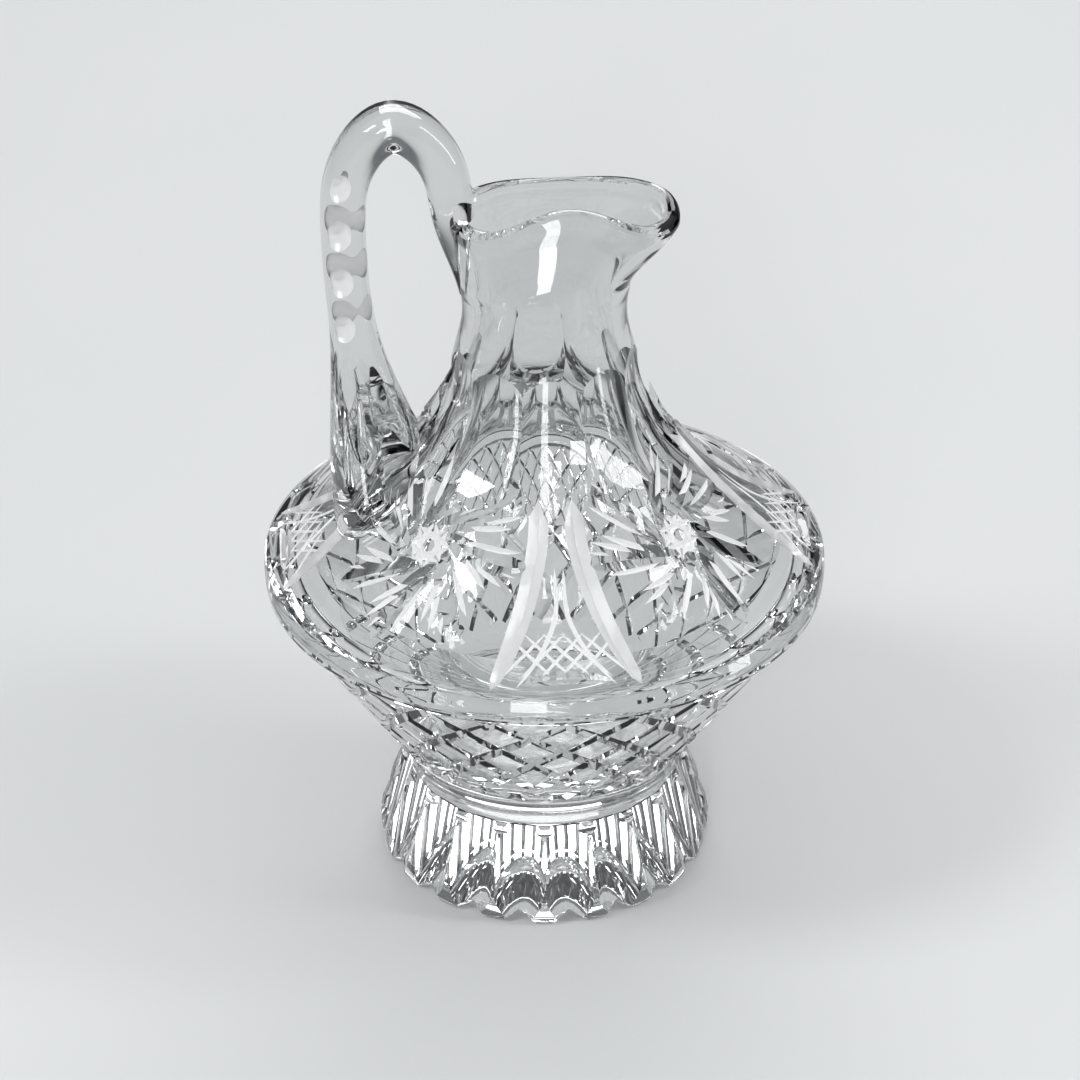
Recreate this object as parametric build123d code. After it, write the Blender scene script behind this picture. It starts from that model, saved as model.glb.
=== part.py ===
"""Crystal ewer: a blown and cut bowl on a star-cut foot, with an applied handle.

Units are millimetres and +Z is up.  The origin is on the bowl's axis, in the plane that the foot
stands on.  The spout points along +X and the handle is on the -X side.  The three nodes are the
three gathers of glass that the maker joins hot: the foot, the body and the handle.
"""
import os
from math import cos, hypot, pi, sin

from build123d import *

# Foot
foot_turn = -4.5
foot_radius = 49.6
foot_height = 29.0
foot_edge_height = 7.0
waist_radius = 40.5
foot_flutes = 20
flute_radius = 11.0
flute_depth = 2.6
groove_radius = 1.1
flute_lean = 18.0
notch_depth = 2.2
notch_lean = 50.0

# Bowl
bowl_radius = 81.2
band_bottom = 92.5
band_top = 101.0
step_width = 2.4
bowl_wall = 5.5
base_thickness = 9.0
bowl_foot_radius = 45.0
bowl_foot_rise = 12.0

# Shoulder and neck
shoulder_radius = 57.0
shoulder_height = 117.0
collar_radius = 31.4
collar_height = 150.0
neck_radius = 23.0
neck_height = 180.0
neck_top = 187.0
neck_wall = 4.0
neck_flutes = 10
neck_flute_depth = 0.9
neck_flute_wheel = 36.0

# Cuts on the bowl
mitre_groups = 4
mitre_depth = 2.0
mitre_half_width = 2.6
mitre_waist_gap = 10.0
mitre_foot_gap = 42.0
mitre_top = 155.0
lattice_lines = 24
lattice_slant = 48.0
lattice_depth = 1.5
lattice_half_width = 1.5

# Lip
lip_length = 62.6
lip_width = 33.0
lip_offset = 5.7
lip_height = 211.0
lip_flare = 0.9
front_swell = 5.0
front_dip = 6.0
back_sag = 1.0
lip_wall = 3.6
lip_seam = 0.15
rim_round = 1.4

# Handle
handle_top = 241.5
handle_crown = 41.5
handle_back = 61.5
handle_arch_height = 207.0
handle_thickness = 12.4
handle_width = 16.0
handle_tip_thickness = 5.0
handle_seat_height = 113.0
handle_seat_length = 33.0
handle_seat_width = 42.0
thumb_cuts = 4
thumb_radius = 9.0
thumb_depth = 1.9
thumb_pitch = 14.5
thumb_first = 178.0
lens_length = 26.0
lens_width = 7.0
handle_stations = 12


def blend(a, b, t):
    """Return the value a share t of the way from a to b."""
    return a + (b - a) * t


def rounded_ring(plane, length, width, power=2.0, points=16):
    """Return the face inside a superellipse of this length and width on a plane."""
    ring = []
    for i in range(points):
        c, s = cos(2 * pi * i / points), sin(2 * pi * i / points)
        x = length / 2 * abs(c) ** (2 / power) * (1 if c >= 0 else -1)
        y = width / 2 * abs(s) ** (2 / power) * (1 if s >= 0 else -1)
        ring.append(plane.from_local_coords(Vector(x, y, 0)))
    return Face(Wire(Spline(*ring, periodic=True)))


def turned(edges):
    """Return the solid that a closed outline in the XZ plane sweeps out round the axis."""
    return revolve(make_face(edges), Axis.Z)


def inset(points, walls):
    """Move each (radius, height) point into the glass by its wall, square to the profile."""
    moved = []
    for i, (r, z) in enumerate(points):
        r0, z0 = points[max(i - 1, 0)]
        r1, z1 = points[min(i + 1, len(points) - 1)]
        run = hypot(r1 - r0, z1 - z0)
        moved.append((r - walls[i] * (z1 - z0) / run, z + walls[i] * (r1 - r0) / run))
    return moved


def xz(points):
    """Return 3-D points in the XZ plane for (radius, height) points."""
    return [(r, 0, z) for r, z in points]


def shoulder_profile():
    """Return the (radius, height) points of the outside, from the band to the top of the neck."""
    edge = bowl_radius - step_width / 4
    rise = shoulder_height - band_top
    return [
        (edge, band_top),
        (blend(edge, shoulder_radius, 0.28), band_top + 0.24 * rise),
        (shoulder_radius, shoulder_height),
        (blend(shoulder_radius, collar_radius, 0.62), blend(shoulder_height, collar_height, 0.5)),
        (collar_radius, collar_height),
        (blend(collar_radius, neck_radius, 0.72), blend(collar_height, neck_height, 0.55)),
        (neck_radius, neck_height),
        (neck_radius + lip_flare, neck_top),
    ]


def cone_profile():
    """Return the two ends of the lower bowl's straight outside, from the foot to the step."""
    return [
        (bowl_foot_radius, foot_height + bowl_foot_rise),
        (bowl_radius - step_width, band_bottom),
    ]


def bowl_outside():
    """Return the solid body of the bowl and neck, before it is hollowed."""
    low, high = xz(cone_profile())
    upper = xz(shoulder_profile())
    middle = (bowl_radius, 0, (band_bottom + band_top) / 2)
    step = (bowl_radius - step_width / 4, 0, band_bottom)
    seat = (waist_radius, 0, foot_height)
    cove = (blend(waist_radius, bowl_foot_radius, 0.32), 0, foot_height + 0.55 * bowl_foot_rise)
    return turned([
        Line((0, 0, foot_height), seat),
        ThreePointArc(seat, cove, low),
        Line(low, high),
        Line(high, step),
        ThreePointArc(step, middle, upper[0]),
        Spline(*upper),
        Line(upper[-1], (0, 0, neck_top)),
        Line((0, 0, neck_top), (0, 0, foot_height)),
    ])


def bowl_hollow():
    """Return the space inside the bowl and neck."""
    cone = cone_profile()
    floor_height = foot_height + base_thickness
    (r0, z0), (r1, z1) = inset(cone, [bowl_wall] * 2)
    start = (blend(r0, r1, 0.06), 0, blend(z0, z1, 0.06))
    end = (blend(r0, r1, 0.9), 0, blend(z0, z1, 0.9))
    outer = shoulder_profile()
    walls = [blend(bowl_wall, neck_wall, i / (len(outer) - 1)) for i in range(len(outer))]
    upper = xz(inset(outer, walls)[1:-1]) + [(neck_radius + lip_flare - neck_wall, 0, neck_top)]
    return turned([
        Line((0, 0, floor_height), (start[0] * 0.6, 0, floor_height)),
        Spline((start[0] * 0.6, 0, floor_height), start,
               tangents=[(1, 0, 0), (r1 - r0, 0, z1 - z0)]),
        Line(start, end),
        TangentArc(end, upper[0], tangent=(r1 - r0, 0, z1 - z0)),
        Spline(*upper),
        Line(upper[-1], (0, 0, neck_top)),
        Line((0, 0, neck_top), (0, 0, floor_height)),
    ])


def lip_loft(wall):
    """Return the lip's solid that lies a wall inside its outer face, taller than the finished rim."""
    root = 2 * (neck_radius + lip_flare - lip_seam)
    rings = []
    for t in (0, 0.2, 0.45, 0.72, 1, 1.6):
        s = min(t, 1) ** 2 * (3 - 2 * min(t, 1))
        depth = blend(0 if wall == 0 else neck_wall, wall, min(t, 1))
        height = blend(neck_top, lip_height, t)
        plane = Plane(origin=(lip_offset * s, 0, height))
        size = blend(root, lip_length, s) - 2 * depth, blend(root, lip_width, s) - 2 * depth
        rings.append(rounded_ring(plane, *size, power=blend(2, 2.5, s)))
    return loft(rings)


def rim_cutter():
    """Return the solid above the rim, whose front edge swells and whose back edge sags."""
    reach = lip_length
    top = lip_height + 3 * lip_width
    faces = []
    for side in (-2, 2):
        points = []
        for share in (-1, -0.45, -0.25, 0, 0.25, 0.45, 1):
            swell = cos(min(abs(share) / 0.45, 1) * pi) / 2 + 0.5
            front = blend(-front_dip, front_swell, swell)
            back = -back_sag * swell
            rise = (front + back) / 2 + side * (back - front) / 2
            points.append((lip_offset + share * reach, side * lip_width / 2, lip_height + rise))
        left = (points[0][0], points[0][1], top)
        right = (points[-1][0], points[-1][1], top)
        outline = [Spline(*points), Line(points[-1], right), Line(right, left), Line(left, points[0])]
        faces.append(make_face(outline))
    return loft(faces, ruled=True)


def neck_flute_cutters():
    """Return the wheels that cut the flat upright flutes round the neck."""
    wheels = []
    height = blend(collar_height, neck_height, 0.45)
    radius = blend(collar_radius, neck_radius, 0.72) - neck_flute_depth
    for i in range(neck_flutes):
        turn = 360 * (i + 0.5) / neck_flutes
        wheel = Cylinder(neck_flute_wheel, neck_radius * 0.42, rotation=(90, 0, 0))
        wheels.append(Rot(0, 0, turn) * Pos(radius + neck_flute_wheel, 0, height) * wheel)
    return wheels


def groove(course, depth, half_width):
    """Return the V-section bar that cuts a groove along (point, normal) pairs on a surface."""
    sections = []
    for i, (point, normal) in enumerate(course):
        ahead = course[min(i + 1, len(course) - 1)][0] - course[max(i - 1, 0)][0]
        side = ahead.cross(normal).normalized() * (2 * half_width)
        top = point + normal * depth
        sections.append(Face(Wire.make_polygon([point - normal * depth, top + side, top - side])))
    return Solid.make_loft([section.outer_wire() for section in sections], ruled=True)


def on_cone(share, azimuth, lift=0.0):
    """Return the (point, normal) on the lower bowl a share of the way up it."""
    (r0, z0), (r1, z1) = cone_profile()
    run = hypot(r1 - r0, z1 - z0)
    out, up = (z1 - z0) / run, -(r1 - r0) / run
    turn = azimuth * pi / 180
    normal = Vector(out * cos(turn), out * sin(turn), up)
    radius = blend(r0, r1, share)
    return Vector(radius * cos(turn), radius * sin(turn), blend(z0, z1, share)) + normal * lift, normal


def lattice_cutters():
    """Return the grooves that cross the lower bowl both ways and leave raised diamonds."""
    cutters = []
    for i in range(lattice_lines):
        for way in (-1, 1):
            course = []
            for step in range(6):
                share = blend(0.04, 0.99, step / 5)
                course.append(on_cone(share, 360 * i / lattice_lines + way * lattice_slant * step / 5))
            cutters.append(groove(course, lattice_depth, lattice_half_width))
    return cutters


def mitre_cutters():
    """Return the pairs of long mitres that run down the shoulder and flare out to the band."""
    outer = Spline(*xz(shoulder_profile()))
    cutters = []
    for group in range(mitre_groups):
        for side in (-1, 1):
            course = []
            for step in range(8):
                share = step / 7
                place = outer @ blend(0.03, 0.62, 1 - share)
                along = outer % blend(0.03, 0.62, 1 - share)
                gap = blend(mitre_waist_gap, mitre_foot_gap, max(0, share - 0.3) ** 1.6 / 0.7 ** 1.6) / 2
                turn = 2 * pi * group / mitre_groups + side * gap / place.X
                normal = Vector(along.Z * cos(turn), along.Z * sin(turn), -along.X)
                point = Vector(place.X * cos(turn), place.X * sin(turn), place.Z)
                ease = min(1, 3 * share + 0.15)
                course.append((point + normal * mitre_depth * (1 - ease), normal))
            cutters.append(groove(course, mitre_depth, mitre_half_width))
    return cutters


def make_body():
    """Build the hollow bowl, neck and pouring lip with their large cuts."""
    glass = bowl_outside() - lattice_cutters() - mitre_cutters()
    glass = glass + lip_loft(0)
    glass = glass - bowl_hollow() - lip_loft(lip_wall) - rim_cutter()
    rim = [edge for edge in glass.edges() if edge.center().Z > lip_height - front_dip - rim_round]
    return fillet(rim, rim_round) - neck_flute_cutters()


def make_foot():
    """Build the thick foot with its radial hollow flutes and the groove under the waist."""
    edge = foot_radius - 1.2
    seat = (waist_radius, 0, foot_height)
    dome = (blend(waist_radius, foot_radius, 0.62), 0, blend(foot_edge_height, foot_height, 0.62))
    foot = turned([
        Line((0, 0, 0), (edge, 0, 0)),
        ThreePointArc((edge, 0, 0), (foot_radius - 0.2, 0, foot_edge_height / 2),
                      (foot_radius, 0, foot_edge_height)),
        Spline((foot_radius, 0, foot_edge_height), dome, seat),
        Line(seat, (0, 0, foot_height)),
        Line((0, 0, foot_height), (0, 0, 0)),
    ])
    ring = Pos(waist_radius + 0.6, 0, foot_height - 2.5) * Plane.XZ * Circle(groove_radius)
    return foot - revolve(ring, Axis.Z) - foot_cutters()


def foot_cutters():
    """Return the wheels that cut the foot's radial flutes, and the notch under each of them."""
    wheels = []
    flute = Cylinder(flute_radius, 3 * foot_height)
    notch = Rot(0, 0, 45) * Box(2 * notch_depth, 2 * notch_depth, 4 * notch_depth)
    for i in range(foot_flutes):
        turn = Rot(0, 0, foot_turn + 360 * (i + 0.5) / foot_flutes)
        outside = Pos(foot_radius + flute_radius - flute_depth, 0, foot_edge_height)
        wheels.append(turn * outside * Rot(0, -flute_lean, 0) * flute)
        wheels.append(turn * Pos(foot_radius, 0, 0) * Rot(0, 90 - notch_lean, 0) * notch)
    return wheels


def handle_path():
    """Return the handle's centre line, from its tip on the neck over the crown to the shoulder."""
    half = handle_thickness / 2
    arm = -(neck_radius + half / 3)
    back = -(handle_back - half)
    seat = -blend(collar_radius, shoulder_radius, 0.48)
    tip = -(neck_radius - handle_tip_thickness / 3)
    points = [(tip, 0, neck_height + handle_tip_thickness)]
    for angle in (-90, -45, 0, 45, 90):
        side = arm if angle < 0 else back
        x = blend(-handle_crown, side, abs(sin(angle * pi / 180)))
        points.append((x, 0, blend(handle_arch_height, handle_top - half, cos(angle * pi / 180))))
    points.append((blend(seat, back, 0.6), 0, blend(handle_seat_height, handle_arch_height, 0.42)))
    points.append((seat, 0, handle_seat_height))
    return Spline(*points)


def smooth(t):
    """Return t limited to 0..1 and eased at both ends."""
    t = min(max(t, 0), 1)
    return t * t * (3 - 2 * t)


def handle_rings():
    """Return the handle's cross-sections, narrow at the tip and fanned out at the seat."""
    path = handle_path()
    slim = handle_tip_thickness / handle_thickness
    fan = handle_seat_length / handle_thickness
    spread = handle_seat_width / handle_width
    rings = []
    for i in range(handle_stations):
        share = i / (handle_stations - 1)
        thick = blend(slim, 1, smooth(share / 0.16)) * blend(1, fan, smooth((share - 0.62) / 0.4))
        wide = blend(slim, 1, smooth(share / 0.16)) * blend(1, spread, smooth((share - 0.7) / 0.32))
        along = path % share
        plane = Plane(origin=path @ share, x_dir=(-along.Z, 0, along.X), z_dir=along)
        rings.append(rounded_ring(plane, handle_thickness * thick, handle_width * wide, 2.4, 12))
    return rings


def thumb_cutters():
    """Return the round wheels and the long wheel that hollow both flanks of the handle's back."""
    spine = -(handle_back - handle_thickness / 2)
    wheels = []
    long_radius = lens_length ** 2 / (8 * thumb_depth)
    for side in (-1, 1):
        for i in range(thumb_cuts):
            depth = side * (handle_width / 2 + thumb_radius - thumb_depth)
            wheels.append(Pos(spine, depth, thumb_first + i * thumb_pitch) * Sphere(thumb_radius))
        disc = revolve(Plane.XZ * Pos(long_radius - lens_width, 0) * Circle(lens_width), Axis.Z)
        depth = side * (handle_width / 2 + long_radius - thumb_depth)
        height = thumb_first - thumb_pitch / 2 - lens_length / 2
        wheels.append(Pos(spine + lens_width / 3, depth, height) * Rot(0, 90, 0) * disc)
    return wheels


def make_handle(body_blank):
    """Build the applied handle, trimmed to the outside of the body that it is fused to."""
    handle = sweep(handle_rings(), path=handle_path(), multisection=True) - body_blank
    handle = max(handle.solids(), key=lambda solid: solid.volume)
    return handle - thumb_cutters()


def main():
    """Build the three pieces and write one file for each."""
    os.makedirs("parts", exist_ok=True)
    blank = bowl_outside() + lip_loft(0)
    pieces = {"body": make_body(), "foot": make_foot(), "handle": make_handle(blank)}
    for name, shape in pieces.items():
        shape.label = name
        export_step(shape, f"parts/{name}.step")


main()
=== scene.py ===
"""Looks of a cut-crystal ewer: body, foot and handle in polished lead crystal on a pale floor.

Every surface is a grid worked out from the ewer's sizes, and every cut is a bar or a wheel carried
along a line on that surface and taken out of it, as the cutter does.  Lengths are in millimetres
in the size classes and become metres when a mesh is made.
"""

import logging
import math
from dataclasses import dataclass, field
from enum import Enum

import bmesh
import bpy
import numpy as np
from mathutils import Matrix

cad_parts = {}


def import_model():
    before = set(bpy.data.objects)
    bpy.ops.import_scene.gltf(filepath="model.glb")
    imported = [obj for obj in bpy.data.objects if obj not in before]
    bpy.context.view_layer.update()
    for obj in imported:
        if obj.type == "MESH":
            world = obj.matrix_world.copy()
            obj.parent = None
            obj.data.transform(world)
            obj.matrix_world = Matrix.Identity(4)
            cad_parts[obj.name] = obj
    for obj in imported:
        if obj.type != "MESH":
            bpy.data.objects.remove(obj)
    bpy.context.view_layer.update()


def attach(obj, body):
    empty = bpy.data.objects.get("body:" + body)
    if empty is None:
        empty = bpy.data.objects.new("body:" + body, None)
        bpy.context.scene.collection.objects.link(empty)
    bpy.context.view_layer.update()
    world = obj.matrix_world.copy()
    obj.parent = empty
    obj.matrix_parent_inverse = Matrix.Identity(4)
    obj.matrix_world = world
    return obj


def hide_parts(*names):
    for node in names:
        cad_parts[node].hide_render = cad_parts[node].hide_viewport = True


LOG = logging.getLogger("ewer")

# One millimetre in metres.
MM = 0.001
# Points round every ring that is turned about the ewer's axis.
AROUND = 240
# How far the foot and the handle reach into the body, so that the glass looks fused.
FUSED = 0.3
# How far a groove's ends stand over the surface where it runs out.
RUN_OUT = 0.02

# A number, or an array of them.
Amount = float | np.ndarray
# One closed skin: its points and its faces.
Solid = tuple[np.ndarray, list]


class Cutter(Enum):
    """Kinds of wheel edge, each with the half-width of its groove for one unit of depth."""

    MITRE = 1.25
    LENS = 1.9
    NEEDLE = 1.15


@dataclass(frozen=True)
class Finish:
    """One finish of the glass: two tints, haze, waves, clearness and refraction."""

    name: str
    tint: str
    cord: str
    roughness: float
    wave: float
    wave_scale: float
    clear: float
    index: float = 1.545
    wave_height: float = 0.0004


# Clear lead glass polished on the wheel: no haze and the faintest waves, so its edges draw it.
POLISHED = Finish("polished lead crystal", "#FDFDFD", "#F4F6F6", 0.0, 0.02, 60.0, 1.0)
# Cut by a wheel and polished in acid, which leaves a slight ripple: the cuts glint unevenly.
CUT = Finish("acid-polished wheel cut", "#FDFDFD", "#F1F3F3", 0.02, 0.05, 240.0, 1.0)
# A wheel cut with a slight haze and a milky white share, a painted highlight that keeps it bright from every
# side.
MILKY_HIGHLIGHT_CUT = Finish("half-polished wheel cut", "#FFFFFF", "#F8F9F9", 0.15, 0.05, 240.0, 0.45)
# Left as the fine wheel leaves it: white and dull, with its grain drawn coarse enough to show.
NEEDLE_CUT = Finish("grey fine-wheel cut", "#FFFFFF", "#F8F9F9", 0.4, 0.4, 900.0, 0.2)

# The finish of one pass of the wheels, and the solids that it takes out.
Layer = tuple[Finish, list]


@dataclass(frozen=True)
class Groove:
    """One kind of groove, and the bar that cuts it.

    The depth is even, or runs out at both ends by a power, the taper.  The bar stands over the
    surface by its lift.
    """

    finish: Finish
    cutter: Cutter
    depth: float
    taper: float = 0.6
    lift: float = 0.7
    steps: int = 9
    even: bool = False

    def depths(self) -> np.ndarray:
        """Find the depth at each section: (1 - d^2) to the taper, for d from -1 to 1.

        Returns:
            One depth for each section of the bar.
        """
        d = np.linspace(-1, 1, self.steps)
        tapered = self.depth * np.clip(1 - d * d, 0, 1) ** self.taper - RUN_OUT
        return np.full(self.steps, self.depth) if self.even else tapered


def linear(code: str) -> tuple:
    """Turn a hex colour into linear light, by the sRGB curve.

    Args:
        code: colour as #RRGGBB.

    Returns:
        Red, green, blue and a full alpha.
    """
    shares = [int(code[i:i + 2], 16) / 255 for i in (1, 3, 5)]
    return tuple(c / 12.92 if c <= 0.04045 else ((c + 0.055) / 1.055) ** 2.4 for c in shares) + (1.0,)


def add_node(tree: bpy.types.NodeTree, kind: str, inputs: dict | None = None,
             **settings: str) -> bpy.types.Node:
    """Add a shader node.

    Args:
        tree: the node tree.
        kind: the node's class name, without ShaderNode.
        inputs: socket name or number to a value, or to an output socket to link.
        settings: node properties.

    Returns:
        The node.
    """
    node = tree.nodes.new(f"ShaderNode{kind}")
    for key, value in settings.items():
        setattr(node, key, value)
    for key, value in (inputs or {}).items():
        if isinstance(value, bpy.types.NodeSocket):
            tree.links.new(value, node.inputs[key])
        else:
            node.inputs[key].default_value = value
    return node


def empty_tree(owner: bpy.types.ID) -> bpy.types.NodeTree:
    """Clear the node tree of a material or a world.

    Args:
        owner: the material or the world.

    Returns:
        Its tree.
    """
    owner.use_nodes = True
    owner.node_tree.nodes.clear()
    return owner.node_tree


def crystal(finish: Finish) -> bpy.types.Material:
    """Make the glass of a finish: faint cords of tint and a wavy surface, both from one noise.

    Args:
        finish: the finish.

    Returns:
        The material, made once for each finish.
    """
    if finish.name in bpy.data.materials:
        return bpy.data.materials[finish.name]
    material = bpy.data.materials.new(finish.name)
    tree = empty_tree(material)
    where = add_node(tree, "TexCoord")
    noise = add_node(tree, "TexNoise",
                     {"Vector": where.outputs["Object"], "Scale": finish.wave_scale, "Detail": 2.0})
    tint = add_node(tree, "Mix", {0: noise.outputs["Fac"], 6: linear(finish.tint), 7: linear(finish.cord)},
                    data_type="RGBA")
    bump = add_node(tree, "Bump", {"Strength": finish.wave, "Distance": finish.wave_height,
                                   "Height": noise.outputs["Fac"]})
    glass = add_node(tree, "BsdfPrincipled",
                     {"Base Color": tint.outputs[2], "Roughness": finish.roughness, "IOR": finish.index,
                      "Transmission Weight": finish.clear, "Normal": bump.outputs["Normal"]})
    add_node(tree, "OutputMaterial", {"Surface": glass.outputs[0]})
    return material


def blend(a: Amount, b: Amount, t: Amount) -> Amount:
    """Return the value a share t of the way from a to b, by a + (b - a) t."""
    return a + (b - a) * t


def eased(t: Amount) -> Amount:
    """Return t limited to 0..1 and eased at both ends, by t * t * (3 - 2 t)."""
    t = np.clip(t, 0, 1)
    return t * t * (3 - 2 * t)


def outwards(turn: float) -> np.ndarray:
    """Return the unit vector out from the axis at an angle from +X: (cos, sin, 0)."""
    return np.array([math.cos(turn), math.sin(turn), 0])


class Curve:
    """A natural cubic spline through points, spaced by the distances between them."""

    def __init__(self, points: list) -> None:
        """Fit the spline: the second derivatives solve the usual system, with none at the ends.

        Args:
            points: two or more points, each with as many numbers as the curve has dimensions.
        """
        p = np.asarray(points, float)
        t = np.concatenate([[0], np.cumsum(np.linalg.norm(np.diff(p, axis=0), axis=1))])
        h = np.diff(t)[:, None]
        n = len(p)
        a = np.eye(n)
        b = np.zeros_like(p)
        for i in range(1, n - 1):
            a[i, i - 1:i + 2] = h[i - 1, 0], 2 * (h[i - 1, 0] + h[i, 0]), h[i, 0]
            b[i] = 6 * ((p[i + 1] - p[i]) / h[i] - (p[i] - p[i - 1]) / h[i - 1])
        self.bend = np.linalg.solve(a, b)
        self.points, self.t, self.length = p, t, t[-1]

    def at(self, share: Amount) -> np.ndarray:
        """Find points on the curve, from the cubic between the two given points on either side.

        Args:
            share: shares 0..1 of the curve's length.

        Returns:
            One point for each share.
        """
        s = np.clip(np.atleast_1d(share), 0, 1) * self.length
        i = np.clip(np.searchsorted(self.t, s) - 1, 0, len(self.t) - 2)
        h = (self.t[i + 1] - self.t[i])[:, None]
        left = (self.t[i + 1] - s)[:, None]
        right = (s - self.t[i])[:, None]
        m, n = self.bend[i], self.bend[i + 1]
        ends = (self.points[i] / h - m * h / 6) * left + (self.points[i + 1] / h - n * h / 6) * right
        return (m * left ** 3 + n * right ** 3) / (6 * h) + ends

    def along(self, share: Amount, step: float = 1e-3) -> np.ndarray:
        """Find unit tangents, from the chord between two points a small step apart.

        Args:
            share: shares 0..1 of the curve's length.
            step: half the chord, as a share.

        Returns:
            One unit vector for each share.
        """
        share = np.atleast_1d(share)
        chord = self.at(share + step) - self.at(share - step)
        return chord / np.linalg.norm(chord, axis=1)[:, None]


def placed(name: str, data: bpy.types.ID) -> bpy.types.Object:
    """Put a mesh, a lamp or a camera into the scene.

    Args:
        name: the object's name.
        data: the mesh, the lamp or the camera.

    Returns:
        The object.
    """
    thing = bpy.data.objects.new(name, data)
    bpy.context.scene.collection.objects.link(thing)
    return thing


def glass_object(name: str, solid: Solid, finish: Finish) -> bpy.types.Object:
    """Make an object of glass.

    Args:
        name: its name.
        solid: its points, in millimetres, and its faces.
        finish: the finish of all its faces.

    Returns:
        The object.
    """
    points, faces = solid
    mesh = bpy.data.meshes.new(name)
    mesh.from_pydata((points * MM).tolist(), [], faces)
    mesh.materials.append(crystal(finish))
    return placed(name, mesh)


def ring_skin(rings: np.ndarray) -> Solid:
    """Join rings of points into a closed skin: squares between rings, and a fan over each end.

    Args:
        rings: rows x around x 3 array of points.

    Returns:
        The skin.
    """
    rows, around, _ = rings.shape
    ends = np.stack([rings[0].mean(axis=0), rings[-1].mean(axis=0)])
    verts = np.concatenate([rings.reshape(-1, 3), ends])
    j = np.arange(around)
    k = (j + 1) % around
    low = np.arange(rows - 1)[:, None] * around
    high = low + around
    squares = np.stack([low + j, low + k, high + k, high + j], axis=2).reshape(-1, 4)
    first, last, top = rows * around, rows * around + 1, (rows - 1) * around
    foot_fan = np.stack([k, j, np.full(around, first)], axis=1)
    top_fan = np.stack([top + j, top + k, np.full(around, last)], axis=1)
    return verts, squares.tolist() + foot_fan.tolist() + top_fan.tolist()


def turned_rings(rows: list) -> np.ndarray:
    """Turn a profile about the axis: each row becomes a ring of radius times cos and sin.

    Args:
        rows: (radius, height) pairs.

    Returns:
        Rows x AROUND x 3 array of points.
    """
    angles = np.linspace(0, 2 * np.pi, AROUND, endpoint=False)
    radius, height = np.asarray(rows, float).T[..., None]
    return np.stack([radius * np.cos(angles), radius * np.sin(angles), height + 0 * angles], axis=2)


def oval(angles: np.ndarray, half_length: float, half_width: float, power: float) -> tuple:
    """Find points round a superellipse: each half size times cos or sin to 2 / power.

    Args:
        angles: angles in radians.
        half_length: half size along x.
        half_width: half size along y.
        power: 2 for an ellipse, more for squarer corners.

    Returns:
        The x and the y of the points.
    """
    c, s = np.cos(angles), np.sin(angles)
    x = half_length * np.sign(c) * np.abs(c) ** (2 / power)
    y = half_width * np.sign(s) * np.abs(s) ** (2 / power)
    return x, y


def bar(points: np.ndarray, normals: np.ndarray, groove: Groove) -> Solid:
    """Carry a V-edged section along a line on a surface.

    Each section has its point one depth below the surface and two corners one lift above it, and
    opens by the cutter's slope.

    Args:
        points: the line, a point for each section.
        normals: the surface's normals there.
        groove: the kind of groove.

    Returns:
        The bar's skin.
    """
    depths, lift = groove.depths()[:, None], groove.lift
    side = np.cross(np.gradient(points, axis=0), normals)
    side /= np.linalg.norm(side, axis=1)[:, None]
    reach = (np.maximum(depths, -0.9 * lift) + lift) * groove.cutter.value * side
    top = points + normals * lift
    sections = np.stack([points - normals * depths, top + reach, top - reach], axis=1)
    n = len(points)
    faces = [(3 * i + q, 3 * i + (q + 1) % 3, 3 * i + 3 + (q + 1) % 3, 3 * i + 3 + q)
             for i in range(n - 1) for q in range(3)]
    faces += [(2, 1, 0), (3 * n - 3, 3 * n - 2, 3 * n - 1)]
    return sections.reshape(-1, 3), faces


def wheel(centre: tuple | np.ndarray, axis: tuple | np.ndarray, radius: float, half_width: float,
          bulge: float, spokes: int) -> Solid:
    """Build a cutting wheel: a disc whose edge swells by a share of a quarter circle.

    Args:
        centre: its middle.
        axis: its axle, of any length.
        radius: its greatest radius.
        half_width: half its thickness.
        bulge: how far the edge swells from its rims to its middle.
        spokes: points round it.

    Returns:
        The skin.
    """
    axis = np.asarray(axis, float) / np.linalg.norm(axis)
    first = np.cross(axis, (0, 0, 1) if abs(axis[2]) < 0.9 else (1, 0, 0))
    first /= np.linalg.norm(first)
    second = np.cross(axis, first)
    angles = np.linspace(0, 2 * np.pi, spokes, endpoint=False)
    spoke = np.cos(angles)[:, None] * first + np.sin(angles)[:, None] * second
    across = np.linspace(-1, 1, 9)[:, None, None]
    size = radius + bulge * (np.sqrt(np.maximum(0, 1 - 0.96 * across ** 2)) - 1)
    return ring_skin(np.asarray(centre) + axis * half_width * across + spoke * size)


def merged(parts: list) -> Solid:
    """Join closed skins that don't meet, each turned outwards by the sign of its volume.

    The volume is a sixth of the sum of p . (q x r) over the triangles of every face's fan.

    Args:
        parts: the skins.

    Returns:
        One skin.
    """
    verts, faces, count = [], [], 0
    for points, polygons in parts:
        fans = np.array([(f[0], f[i], f[i + 1]) for f in polygons for i in range(1, len(f) - 1)])
        p, q, r = (points - points.mean(axis=0))[fans.T]
        inward = np.einsum("ij,ij->i", p, np.cross(q, r)).sum() < 0
        faces += [tuple(i + count for i in (reversed(f) if inward else f)) for f in polygons]
        verts.append(points)
        count += len(points)
    return np.concatenate(verts), faces


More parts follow.
